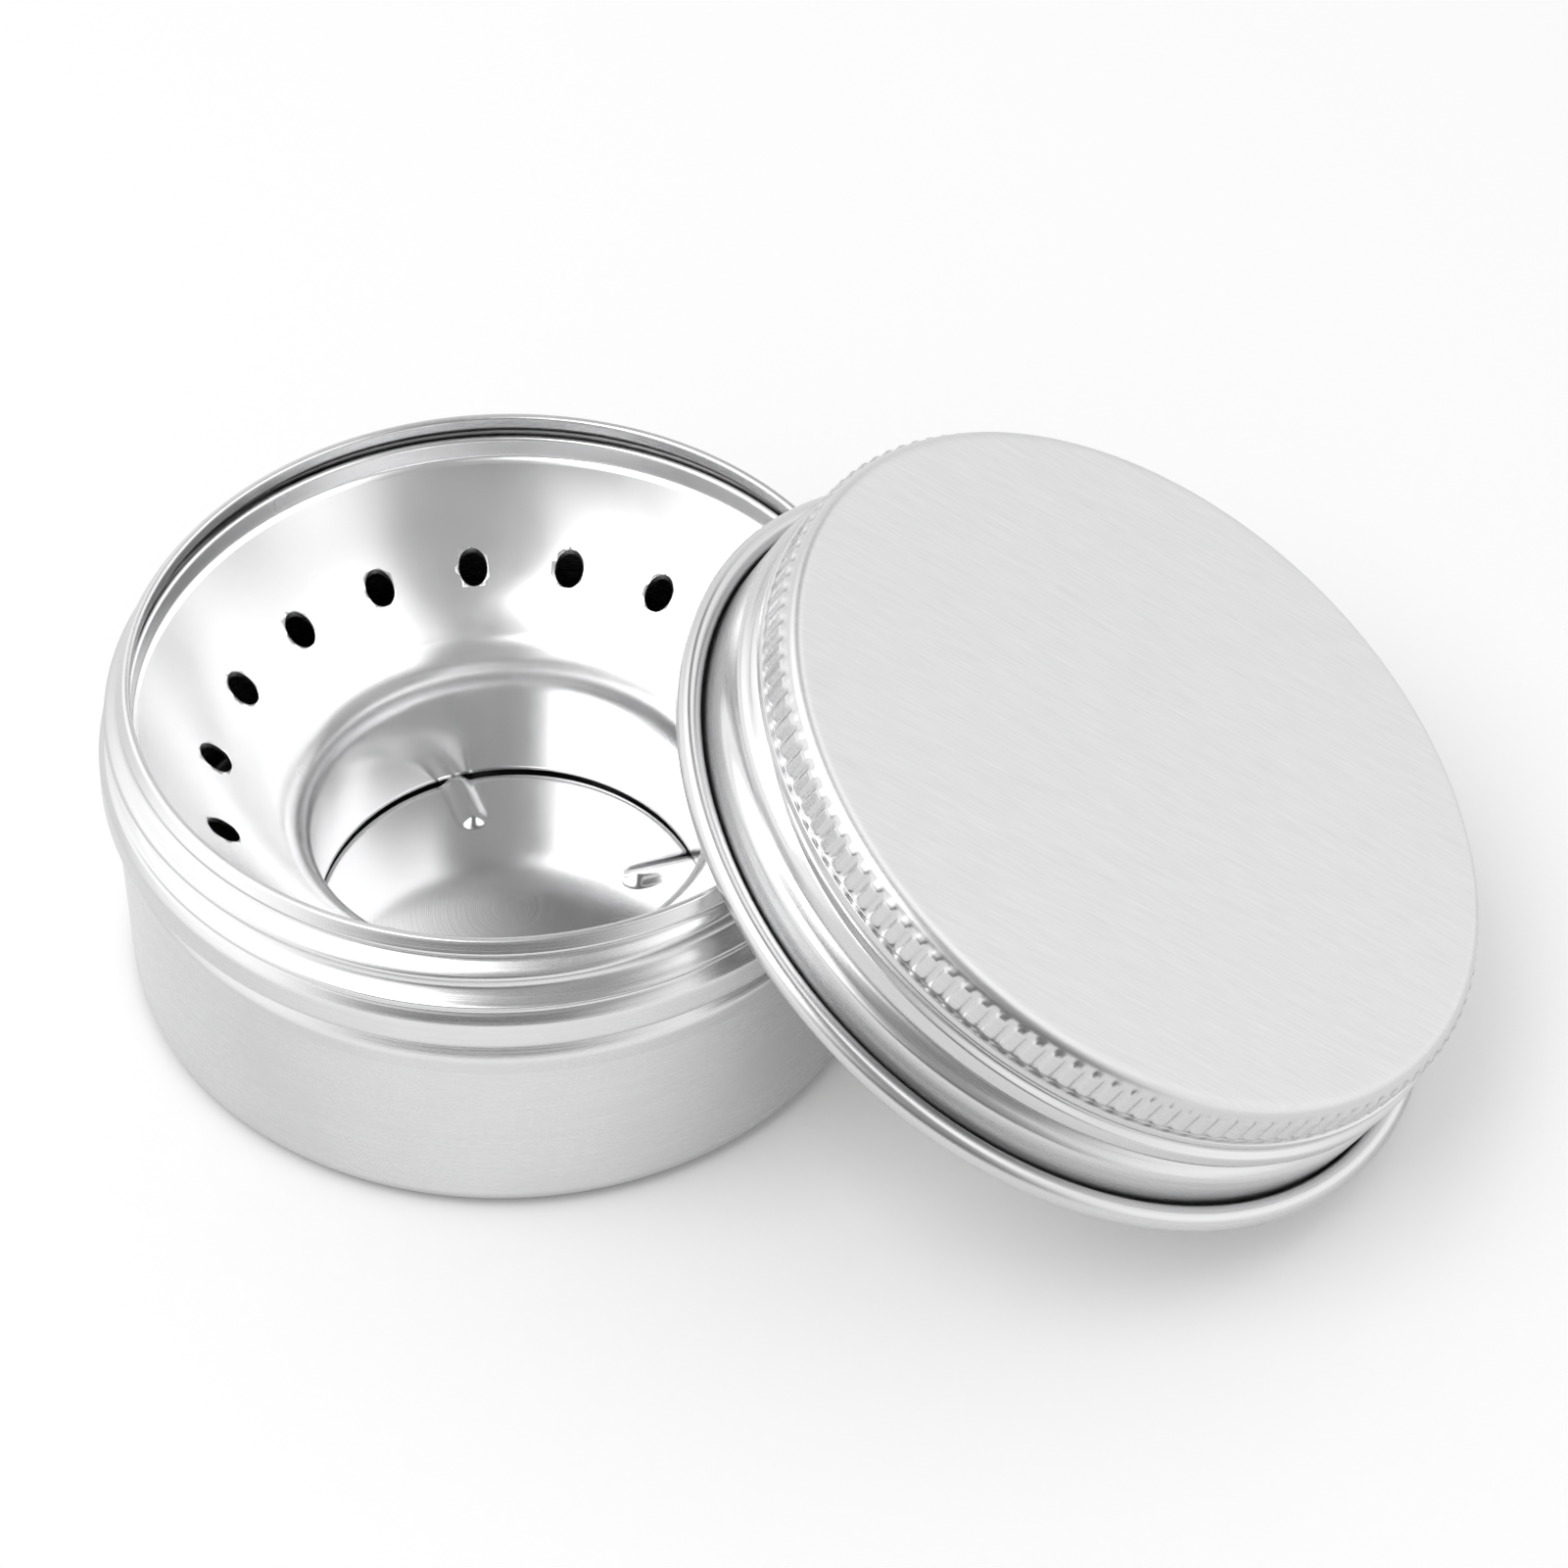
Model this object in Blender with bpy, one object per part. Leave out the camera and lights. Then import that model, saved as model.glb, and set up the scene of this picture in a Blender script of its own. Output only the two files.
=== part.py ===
"""Alcohol stove: a screw-top tin, the pressed jet burner in it, and its lid leaning on the rim.

Metres, +Z up. The origin is the centre of the tin's base, and the lid leans towards +X.
"""
import math

import bmesh
import bpy
from mathutils import Vector

# Clearance between two pieces that touch or seat on each other
SEAT_GAP = 0.0003

# Tin: drawn sheet with a rounded foot, a shoulder bead, a rolled thread and a hemmed rim
TIN_SHEET = 0.00035
BODY_RADIUS = 0.03375
FOOT_ROUND = 0.0016
BODY_TOP_HEIGHT = 0.0172
SWELL_RISE = 0.0001
SWELL_HEIGHT = 0.0181
SHOULDER_GROOVE_RADIUS = 0.0331
SHOULDER_GROOVE_HEIGHT = 0.0198
SHOULDER_RADIUS = 0.0347
SHOULDER_HEIGHT = 0.0220
SHOULDER_EDGE = 0.0005
NECK_RADIUS = 0.0326
NECK_FOOT_HEIGHT = 0.0239
NECK_STEP = 0.0011
HEM_RADIUS = 0.0330
HEM_WIDTH = 0.0016
HEM_DEPTH = 0.0012
HEM_ROUND = 0.0004
TIN_HEIGHT = 0.0314
NECK_TOP_HEIGHT = TIN_HEIGHT - HEM_DEPTH - NECK_STEP

# Screw thread, right-handed, rolled in the tin's neck and in the lid's skirt
THREAD_PITCH = 0.0033
THREAD_RIDGE_WIDTH = 0.0026
TIN_THREAD_RISE = 0.00125
TIN_THREAD_FIRST_HEIGHT = 0.0246
TIN_THREAD_FIRST_ANGLE = math.radians(189)
TIN_THREAD_TURNS = 1.4
LID_THREAD_DEPTH = 0.0014
LID_THREAD_BITE = 0.0003
LID_THREAD_FIRST_DROP = 0.0091
LID_THREAD_FIRST_ANGLE = math.radians(184)
LID_THREAD_TURNS = 1.15
THREAD_FADE_TURNS = 0.12

# Ribs pressed up in the tin's floor, which carry the burner's foot clear of it
FLOOR_RIB_COUNT = 4
FLOOR_RIB_FIRST_ANGLE = math.radians(30)
FLOOR_RIB_HEIGHT = 0.0003
FLOOR_RIB_WIDTH = 0.0026
FLOOR_RIB_INNER_RADIUS = 0.0107
FLOOR_RIB_OUTER_RADIUS = 0.0240
FLOOR_CORE_RADIUS = 0.0080

# Burner: one pressed piece with a collar, a dished cone with the jets, and a fuel cup's wall
BURNER_SHEET = 0.0004
CUP_RADIUS = 0.0173
THROAT_HEIGHT = 0.0123
THROAT_ROUND = 0.0032
THROAT_TURN = math.radians(64)
CONE_DISH = 0.0017
COLLAR_ROUND = 0.0004
COLLAR_HEIGHT = 0.0021
CONE_TOP_HEIGHT = NECK_TOP_HEIGHT - SEAT_GAP - COLLAR_HEIGHT
JET_COUNT = 18
JET_FIRST_ANGLE = math.radians(9.2)
JET_CIRCLE_RADIUS = 0.02515
JET_DIAMETER = 0.0026

# Lid: drawn sheet with a knurled grip, a threaded skirt and an outward curl at the mouth
LID_SHEET = 0.0004
LID_HEIGHT = 0.0143
GRIP_RADIUS = 0.03485
GRIP_CORNER = 0.00125
GRIP_RIB_COUNT = 120
GRIP_RIB_RISE = 0.00045
GRIP_RIB_LENGTH = 0.0032
GRIP_RIB_TOP_DROP = 0.0009
GRIP_RIB_ROUND = 0.0004
GRIP_RIB_WIDTH_SHARE = 0.66
BAND_TOP_DROP = 0.0042
BAND_DEPTH = 0.0011
SKIRT_RADIUS = NECK_RADIUS + TIN_THREAD_RISE - LID_THREAD_BITE + LID_THREAD_DEPTH + LID_SHEET
SKIRT_TOP_DROP = 0.0058
SKIRT_FOOT_DROP = 0.0121
CURL_TUBE = 0.0010
CURL_GAP = 0.00025
CURL_RADIUS = SKIRT_RADIUS + CURL_GAP + CURL_TUBE
CURL_TURN = math.radians(245)
PANEL_CORE_RADIUS = 0.0100
LID_LEAN = math.radians(29.05)

# Sealing disc in the lid
LINER_CLEARANCE = 0.0005
LINER_RADIUS = GRIP_RADIUS - GRIP_RIB_RISE - LID_SHEET - LINER_CLEARANCE
LINER_THICKNESS = 0.0010
LINER_EDGE_ROUND = 0.0002

# Mesh counts
TIN_COLUMNS = 48
BURNER_COLUMNS = 54
LID_COLUMNS = 60
LINER_COLUMNS = 48
NECK_ROWS = 10
SKIRT_ROWS = 9
CONE_ROWS = 5
JET_SIDES = 12
RIB_SIDES = 8
ARC_STEPS = 2
CURL_STEPS = 8
SMOOTH_ANGLE = math.radians(40)
LEAN_SAMPLES = 720
LEAN_HALVINGS = 40

# Overrun of a cutter past the sheet that it cuts
OVERRUN = 0.0015


def clear_scene():
    """Empties the file that the script runs in."""
    for old in list(bpy.data.objects):
        bpy.data.objects.remove(old, do_unlink=True)


def make_material(name, colour, roughness, metallic):
    """A Principled material in one colour."""
    material = bpy.data.materials.new(name)
    material.use_nodes = True
    shader = material.node_tree.nodes["Principled BSDF"]
    shader.inputs["Base Color"].default_value = (*colour, 1.0)
    shader.inputs["Roughness"].default_value = roughness
    shader.inputs["Metallic"].default_value = metallic
    material.diffuse_color = (*colour, 1.0)
    return material


def link_mesh(name, bm, material=None, parent=None):
    """Turns a bmesh into a linked object, shaded smooth."""
    mesh = bpy.data.meshes.new(name)
    bm.to_mesh(mesh)
    bm.free()
    mesh.shade_smooth()
    mesh.set_sharp_from_angle(angle=SMOOTH_ANGLE)
    obj = bpy.data.objects.new(name, mesh)
    bpy.context.collection.objects.link(obj)
    if material is not None:
        mesh.materials.append(material)
    obj.parent = parent
    return obj


def make_cutter(name, bm, parent=None):
    """A guide body for a Boolean, which isn't a piece of the stove."""
    cutter = link_mesh(name, bm, parent=parent)
    cutter.hide_render = True
    cutter.display_type = "WIRE"
    return cutter


def add_boolean(obj, cutter, operation):
    """Joins or cuts with the exact solver."""
    boolean = obj.modifiers.new(cutter.name, "BOOLEAN")
    boolean.operation = operation
    boolean.solver = "EXACT"
    boolean.object = cutter


def thicken(obj, sheet):
    """Gives a turned sheet its thickness, on the side away from the hollow."""
    solidify = obj.modifiers.new("sheet", "SOLIDIFY")
    solidify.thickness = sheet
    solidify.offset = 1.0
    solidify.use_even_offset = True
    solidify.use_quality_normals = True


def arc(centre, radius, start, turn, steps):
    """Points of a profile along an arc, both ends included."""
    points = []
    for step in range(steps + 1):
        angle = start + turn * step / steps
        points.append((centre[0] + radius * math.cos(angle), centre[1] + radius * math.sin(angle)))
    return points


def straight(first, last, rows):
    """Points of a profile along a straight line, both ends included."""
    points = []
    for row in range(rows + 1):
        share = row / rows
        points.append((
            first[0] + (last[0] - first[0]) * share,
            first[1] + (last[1] - first[1]) * share,
        ))
    return points


def turned_sheet(profile, columns, warp=None, close_first=False, close_last=False):
    """Turns a profile of (radius, height) about Z, and fills its first or last ring flat.

    The faces look away from the hollow when the profile runs up the wall.
    """
    bm = bmesh.new()
    rings = []
    for radius, height in profile:
        ring = []
        for column in range(columns):
            angle = math.tau * column / columns
            reach = warp(radius, height, angle) if warp else radius
            ring.append(bm.verts.new((reach * math.cos(angle), reach * math.sin(angle), height)))
        rings.append(ring)
    for lower, upper in zip(rings, rings[1:]):
        for column in range(columns):
            following = (column + 1) % columns
            bm.faces.new((lower[column], lower[following], upper[following], upper[column]))
    if close_first:
        bm.faces.new(list(reversed(rings[0])))
    if close_last:
        bm.faces.new(rings[-1])
    return bm


def thread_share(angle, height, first_angle, first_height, turns):
    """How far a point is up the ridge of a right-handed thread, from 0 to 1."""
    best = 0.0
    phase = ((angle - first_angle) % math.tau) / math.tau
    for turn in range(math.ceil(turns) + 1):
        along = phase + turn
        if along > turns:
            continue
        off = abs(height - first_height - THREAD_PITCH * along) / (THREAD_RIDGE_WIDTH / 2)
        if off >= 1.0:
            continue
        fade = min(1.0, along / THREAD_FADE_TURNS, (turns - along) / THREAD_FADE_TURNS)
        best = max(best, fade * math.cos(off * math.pi / 2) ** 2)
    return best


def tin_profile():
    """The tin's inner face, from the floor out and up, and on round the hem."""
    wall = BODY_RADIUS - TIN_SHEET
    groove = SHOULDER_GROOVE_RADIUS - TIN_SHEET
    bead = SHOULDER_RADIUS - TIN_SHEET
    neck = NECK_RADIUS - TIN_SHEET
    foot = BODY_RADIUS - FOOT_ROUND
    profile = [(FLOOR_CORE_RADIUS, TIN_SHEET)]
    profile += arc((foot, FOOT_ROUND), FOOT_ROUND - TIN_SHEET, -math.pi / 2, math.pi / 2, ARC_STEPS)
    profile.append((wall, BODY_TOP_HEIGHT))
    profile.append((wall + SWELL_RISE, SWELL_HEIGHT))
    groove_share = 0.45
    profile.append((groove, SWELL_HEIGHT + (SHOULDER_GROOVE_HEIGHT - SWELL_HEIGHT) * groove_share))
    profile.append((groove, SHOULDER_GROOVE_HEIGHT))
    flare_share = 0.55
    profile.append((
        groove + (bead - groove) * flare_share,
        SHOULDER_HEIGHT - SHOULDER_EDGE * 2,
    ))
    profile.append((bead, SHOULDER_HEIGHT - SHOULDER_EDGE / 2))
    profile.append((bead, SHOULDER_HEIGHT + SHOULDER_EDGE / 2))
    slope_share = 0.22
    profile.append((
        bead + (neck - bead) * slope_share,
        SHOULDER_HEIGHT + SHOULDER_EDGE + (NECK_FOOT_HEIGHT - SHOULDER_HEIGHT) * slope_share,
    ))
    profile += straight((neck, NECK_FOOT_HEIGHT), (neck, NECK_TOP_HEIGHT), NECK_ROWS)
    return profile + hem_profile()


def hem_profile():
    """The rim, rolled outwards and pressed flat, from the neck's top to the sheet's end."""
    inner = HEM_RADIUS - HEM_WIDTH
    hem_foot = TIN_HEIGHT - HEM_DEPTH
    step_share = 0.45
    step_radius = inner + (NECK_RADIUS - TIN_SHEET - inner) * step_share
    points = [
        (step_radius, NECK_TOP_HEIGHT + (hem_foot - NECK_TOP_HEIGHT) * step_share),
        (inner, hem_foot),
    ]
    quarter = math.pi / 2
    top = TIN_HEIGHT - HEM_ROUND
    points += arc((inner + HEM_ROUND, top), HEM_ROUND, math.pi, -quarter, ARC_STEPS)
    points += arc((HEM_RADIUS - HEM_ROUND, top), HEM_ROUND, quarter, -quarter, ARC_STEPS)
    points += arc((HEM_RADIUS - HEM_ROUND, hem_foot + HEM_ROUND), HEM_ROUND, 0.0, -quarter, ARC_STEPS)
    points.append((inner + HEM_WIDTH / 2 + SEAT_GAP / 2, hem_foot))
    return points


def tin_warp(radius, height, angle):
    """Presses the thread outwards in the neck."""
    share = 0.0
    if NECK_FOOT_HEIGHT < height < NECK_TOP_HEIGHT:
        share = thread_share(
            angle, height, TIN_THREAD_FIRST_ANGLE, TIN_THREAD_FIRST_HEIGHT, TIN_THREAD_TURNS)
    return radius + TIN_THREAD_RISE * share


def rib_bodies(rise, depth, width, inner_radius, outer_radius, level):
    """Long domes lying along the radii of the floor, one for each rib."""
    bm = bmesh.new()
    run = outer_radius - inner_radius - width
    for rib in range(FLOOR_RIB_COUNT):
        angle = FLOOR_RIB_FIRST_ANGLE + math.tau * rib / FLOOR_RIB_COUNT
        dome = bmesh.ops.create_uvsphere(bm, u_segments=RIB_SIDES, v_segments=RIB_SIDES, radius=1.0)
        for vert in dome["verts"]:
            along = inner_radius + width / 2 + vert.co.x * width / 2
            if vert.co.x > 0:
                along += run
            across = vert.co.y * width / 2
            vert.co = Vector((
                along * math.cos(angle) - across * math.sin(angle),
                along * math.sin(angle) + across * math.cos(angle),
                level + vert.co.z * (rise if vert.co.z > 0 else depth),
            ))
    return bm


def build_tin():
    """The tin, with its rolled thread and the ribs of its floor."""
    material = make_material("satin_tin", (0.80, 0.80, 0.81), 0.32, 1.0)
    bm = turned_sheet(tin_profile(), TIN_COLUMNS, tin_warp, close_first=True)
    tin = link_mesh("tin_body", bm, material)
    thicken(tin, TIN_SHEET)
    raised = rib_bodies(
        FLOOR_RIB_HEIGHT, TIN_SHEET / 2, FLOOR_RIB_WIDTH, FLOOR_RIB_INNER_RADIUS,
        FLOOR_RIB_OUTER_RADIUS, TIN_SHEET)
    add_boolean(tin, make_cutter("floor_rib_domes", raised), "UNION")
    hollow = rib_bodies(
        FLOOR_RIB_HEIGHT, OVERRUN, FLOOR_RIB_WIDTH - 2 * TIN_SHEET, FLOOR_RIB_INNER_RADIUS + TIN_SHEET,
        FLOOR_RIB_OUTER_RADIUS - TIN_SHEET, 0.0)
    add_boolean(tin, make_cutter("floor_rib_hollows", hollow), "DIFFERENCE")
    return tin


def burner_profile():
    """The burner's visible face, from the foot of the cup's wall up to the collar's edge."""
    foot_height = TIN_SHEET + FLOOR_RIB_HEIGHT + SEAT_GAP
    collar = NECK_RADIUS - TIN_SHEET - SEAT_GAP - BURNER_SHEET
    centre = (CUP_RADIUS + THROAT_ROUND, THROAT_HEIGHT)
    profile = [(CUP_RADIUS, foot_height)]
    profile += arc(centre, THROAT_ROUND, math.pi, -THROAT_TURN, ARC_STEPS + 1)
    low = profile[-1]
    high = (collar - COLLAR_ROUND, CONE_TOP_HEIGHT)
    for row in range(1, CONE_ROWS + 1):
        share = row / CONE_ROWS
        profile.append((
            low[0] + (high[0] - low[0]) * share,
            low[1] + (high[1] - low[1]) * share - CONE_DISH * 4 * share * (1 - share),
        ))
    profile.append((collar, CONE_TOP_HEIGHT + COLLAR_ROUND))
    profile.append((collar, NECK_TOP_HEIGHT - SEAT_GAP))
    return profile


def jet_cutters():
    """Upright punches, one for each jet."""
    bm = bmesh.new()
    for jet in range(JET_COUNT):
        angle = JET_FIRST_ANGLE + math.tau * jet / JET_COUNT
        punch = bmesh.ops.create_cone(
            bm, cap_ends=True, segments=JET_SIDES, radius1=JET_DIAMETER / 2,
            radius2=JET_DIAMETER / 2, depth=CONE_TOP_HEIGHT - THROAT_HEIGHT + 2 * OVERRUN)
        middle = Vector((
            JET_CIRCLE_RADIUS * math.cos(angle),
            JET_CIRCLE_RADIUS * math.sin(angle),
            (CONE_TOP_HEIGHT + THROAT_HEIGHT) / 2,
        ))
        bmesh.ops.translate(bm, verts=punch["verts"], vec=middle)
    return bm


def build_burner():
    """The burner that stands on the floor's ribs inside the tin's neck."""
    material = make_material("bright_burner", (0.84, 0.84, 0.85), 0.18, 1.0)
    burner = link_mesh("burner_insert", turned_sheet(burner_profile(), BURNER_COLUMNS), material)
    thicken(burner, BURNER_SHEET)
    add_boolean(burner, make_cutter("jet_punches", jet_cutters()), "DIFFERENCE")
    return burner


def lid_profile():
    """The lid's inner face, from the sheet's end in the curl round, up the skirt and over the panel.

    Heights are from the mouth's plane. A drop is measured down from the top of the panel.
    """
    root = GRIP_RADIUS - GRIP_RIB_RISE - LID_SHEET
    skirt = SKIRT_RADIUS - LID_SHEET
    bend = (CURL_RADIUS - skirt) / 2
    curl_end = CURL_TURN - math.pi / 2
    profile = arc((CURL_RADIUS, CURL_TUBE), CURL_TUBE, curl_end, -CURL_TURN, CURL_STEPS)
    profile += arc((skirt + bend, bend), bend, -math.pi / 2, -math.pi / 2, ARC_STEPS)
    profile.append((skirt, LID_HEIGHT - SKIRT_FOOT_DROP + bend / 2))
    thread_foot = LID_HEIGHT - LID_THREAD_FIRST_DROP - THREAD_RIDGE_WIDTH / 2
    profile += straight((skirt, thread_foot), (skirt, LID_HEIGHT - SKIRT_TOP_DROP), SKIRT_ROWS - 2)
    profile.append((root, LID_HEIGHT - BAND_TOP_DROP - BAND_DEPTH))
    profile.append((root, LID_HEIGHT - BAND_TOP_DROP))
    corner = GRIP_CORNER - LID_SHEET
    profile += arc((root - corner, LID_HEIGHT - GRIP_CORNER), corner, 0.0, math.pi / 2, ARC_STEPS)
    profile.append((PANEL_CORE_RADIUS, LID_HEIGHT - LID_SHEET))
    return profile


def lid_warp(radius, height, angle):
    """Presses the thread inwards in the skirt."""
    lowest = LID_HEIGHT - LID_THREAD_FIRST_DROP
    share = 0.0
    if lowest - THREAD_RIDGE_WIDTH < height < LID_HEIGHT - BAND_TOP_DROP:
        share = thread_share(angle, height, LID_THREAD_FIRST_ANGLE, lowest, LID_THREAD_TURNS)
    spare = radius - (SKIRT_RADIUS - LID_SHEET - LID_THREAD_DEPTH)
    return radius - min(LID_THREAD_DEPTH, spare) * share


def grip_ribs():
    """The short upright ribs of the grip, sunk a little into the skirt's wall."""
    bm = bmesh.new()
    sunk = GRIP_RADIUS - GRIP_RIB_RISE - LID_SHEET / 2
    half_width = math.tau * GRIP_RADIUS / GRIP_RIB_COUNT * GRIP_RIB_WIDTH_SHARE / 2
    top = LID_HEIGHT - GRIP_RIB_TOP_DROP
    foot = top - GRIP_RIB_LENGTH
    outline = (
        (sunk, foot, half_width),
        (GRIP_RADIUS, foot + GRIP_RIB_ROUND, half_width - GRIP_RIB_ROUND / 2),
        (GRIP_RADIUS, top - GRIP_RIB_ROUND, half_width - GRIP_RIB_ROUND / 2),
        (sunk, top, half_width),
    )
    for rib in range(GRIP_RIB_COUNT):
        angle = math.tau * (rib + 1 / 2) / GRIP_RIB_COUNT
        radial = Vector((math.cos(angle), math.sin(angle), 0.0))
        tangent = Vector((-math.sin(angle), math.cos(angle), 0.0))
        sides = []
        for sign in (-1, 1):
            sides.append([
                bm.verts.new(radial * reach + tangent * sign * half + Vector((0.0, 0.0, height)))
                for reach, height, half in outline
            ])
        bm.faces.new(sides[0])
        bm.faces.new(list(reversed(sides[1])))
        for corner in range(len(outline)):
            following = (corner + 1) % len(outline)
            bm.faces.new((
                sides[0][following], sides[0][corner], sides[1][corner], sides[1][following]))
    bmesh.ops.recalc_face_normals(bm, faces=bm.faces)
    return bm


def curl_to_rim(reach):
    """The least distance from the curl's centre line to the rim, with the curl's centre at X = reach."""
    inner = HEM_RADIUS - HEM_WIDTH + HEM_ROUND
    outer = HEM_RADIUS - HEM_ROUND
    least = math.inf
    for step in range(LEAN_SAMPLES):
        angle = math.pi * step / LEAN_SAMPLES
        x = reach + CURL_RADIUS * math.cos(angle) * math.cos(LID_LEAN)
        y = CURL_RADIUS * math.sin(angle)
        z = CURL_TUBE + CURL_RADIUS * math.sin(LID_LEAN) * (1 - math.cos(angle))
        radius = math.hypot(x, y)
        nearest = min(max(radius, inner), outer)
        off = math.hypot(radius - nearest, z - (TIN_HEIGHT - HEM_ROUND)) - HEM_ROUND
        least = min(least, off)
    return least


def lid_seat():
    """An empty at the centre of the lid's mouth, its Z along the lid's axis.

    The curl stands on the ground at its lowest point and lies across the tin's rim at two points,
    which are level with each other on either side of the XZ plane.
    """
    near = BODY_RADIUS
    far = BODY_RADIUS + CURL_RADIUS
    for _ in range(LEAN_HALVINGS):
        middle = (near + far) / 2
        if curl_to_rim(middle) < CURL_TUBE + SEAT_GAP:
            near = middle
        else:
            far = middle
    axis = Vector((math.sin(LID_LEAN), 0.0, math.cos(LID_LEAN)))
    curl_centre = Vector((far, 0.0, CURL_TUBE + CURL_RADIUS * math.sin(LID_LEAN)))
    seat = bpy.data.objects.new("lid_seat", None)
    bpy.context.collection.objects.link(seat)
    seat.location = curl_centre - axis * CURL_TUBE
    seat.rotation_euler = (0.0, LID_LEAN, 0.0)
    return seat


def build_lid(seat):
    """The lid's shell, with its thread and knurled grip."""
    material = make_material("satin_lid", (0.78, 0.78, 0.79), 0.36, 1.0)
    bm = turned_sheet(lid_profile(), LID_COLUMNS, lid_warp, close_last=True)
    lid = link_mesh("lid_shell", bm, material, seat)
    thicken(lid, LID_SHEET)
    add_boolean(lid, make_cutter("grip_ribs", grip_ribs(), seat), "UNION")
    return lid


def build_liner(seat):
    """The foam disc under the lid's panel, which seals on the tin's rim."""
    material = make_material("foam_liner", (0.90, 0.90, 0.88), 0.75, 0.0)
    top = LID_HEIGHT - LID_SHEET - SEAT_GAP
    foot = top - LINER_THICKNESS
    profile = [
        (LINER_RADIUS - LINER_EDGE_ROUND, foot),
        (LINER_RADIUS, foot + LINER_EDGE_ROUND),
        (LINER_RADIUS, top - LINER_EDGE_ROUND),
        (LINER_RADIUS - LINER_EDGE_ROUND, top),
    ]
    bm = turned_sheet(profile, LINER_COLUMNS, close_first=True, close_last=True)
    return link_mesh("lid_liner", bm, material, seat)


clear_scene()
build_tin()
build_burner()
lid_seat_empty = lid_seat()
build_lid(lid_seat_empty)
build_liner(lid_seat_empty)
bpy.context.view_layer.update()
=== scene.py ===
import math
import bpy
import numpy as np
from mathutils import Matrix, Vector


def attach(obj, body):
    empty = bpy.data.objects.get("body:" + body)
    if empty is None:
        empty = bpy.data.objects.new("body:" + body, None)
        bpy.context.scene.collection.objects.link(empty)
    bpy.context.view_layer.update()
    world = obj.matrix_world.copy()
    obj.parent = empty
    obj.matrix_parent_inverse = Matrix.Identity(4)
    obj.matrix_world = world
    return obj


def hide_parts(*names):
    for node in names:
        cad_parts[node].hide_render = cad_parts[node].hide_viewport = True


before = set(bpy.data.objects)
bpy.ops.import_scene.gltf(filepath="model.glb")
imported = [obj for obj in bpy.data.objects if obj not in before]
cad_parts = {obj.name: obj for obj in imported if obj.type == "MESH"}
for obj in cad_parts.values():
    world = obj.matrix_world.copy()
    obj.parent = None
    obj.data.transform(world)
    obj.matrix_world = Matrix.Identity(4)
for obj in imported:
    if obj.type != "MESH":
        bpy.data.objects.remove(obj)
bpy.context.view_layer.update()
scene = bpy.context.scene
scene.view_settings.view_transform = "Standard"


# Camera
# It stands in front of the stove, a little to the right, and looks down at 46 degrees through a
# long lens, a degree off level.
camera_data = bpy.data.cameras.new("camera")
camera_data.sensor_width = 36.0
camera_data.lens = 103.435
camera_data.clip_start = 0.01
camera = bpy.data.objects.new("camera", camera_data)
scene.collection.objects.link(camera)
heading, tilt, roll = math.radians(9.1), math.radians(45.76), math.radians(1.16)
ahead = Vector((
    -math.sin(heading) * math.cos(tilt), math.cos(heading) * math.cos(tilt), -math.sin(tilt)))
level = Vector((math.cos(heading), math.sin(heading), 0.0))
upright = level.cross(ahead)
right = level * math.cos(roll) + upright * math.sin(roll)
upright = upright * math.cos(roll) - level * math.sin(roll)
aim_right, aim_up, distance = 0.024405, 0.011569, 0.4047
aim = right * aim_right + upright * aim_up
camera_turn = Matrix((right, upright, -ahead)).transposed().to_4x4()
camera.matrix_world = Matrix.Translation(aim - ahead * distance) @ camera_turn
scene.camera = camera


# Floor and light
# A white floor that runs out of view, a pale studio with an open front, and one soft lamp high at
# the front left.
class Socket:
    """One output of a node, so that sums of nodes can be written as Python sums."""

    def __init__(self, owner, socket):
        self.owner = owner
        self.socket = socket

    def sum(self, operation, *others):
        inputs = dict(enumerate((self, *others)))
        return self.owner.node("ShaderNodeMath", {"operation": operation}, inputs)

    def __add__(self, other):
        return self.sum("ADD", other)

    def __sub__(self, other):
        return self.sum("SUBTRACT", other)

    def __rsub__(self, other):
        return self * -1.0 + other

    def __mul__(self, other):
        return self.sum("MULTIPLY", other)

    def __pow__(self, other):
        return self.sum("POWER", other)

    __radd__ = __add__
    __rmul__ = __mul__

    def step(self, low, high):
        """Runs smoothly from 0 at low to 1 at high."""
        return self.owner.node(
            "ShaderNodeMapRange", {"interpolation_type": "SMOOTHSTEP"}, {0: self, 1: low, 2: high})


class Nodes:
    """A tree of nodes, built one node at a time from settings and sockets."""

    def node(self, kind, settings={}, inputs={}, output=0):
        made = self.tree.nodes.new(kind)
        for setting, value in settings.items():
            setattr(made, setting, value)
        for key, value in inputs.items():
            self.feed(made.inputs[key], value)
        return Socket(self, made.outputs[output])

    def feed(self, socket, value):
        if isinstance(value, Socket):
            self.tree.links.new(value.socket, socket)
        else:
            socket.default_value = value

    def split(self, vector):
        parts = self.node("ShaderNodeSeparateXYZ", inputs={0: vector})
        return [Socket(self, output) for output in parts.socket.node.outputs]

    def join(self, x, y, z):
        return self.node("ShaderNodeCombineXYZ", inputs={0: x, 1: y, 2: z})

    def shown(self):
        """1 for what the picture shows, straight, mirrored or through glass, and 0 for what only
        gives light."""
        straight = self.node("ShaderNodeLightPath", output="Is Camera Ray")
        path = straight.socket.node.outputs
        mirrored = Socket(self, path["Is Glossy Ray"])
        through = Socket(self, path["Is Transmission Ray"])
        return (straight + mirrored + through).sum("MINIMUM", 1.0)


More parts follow.
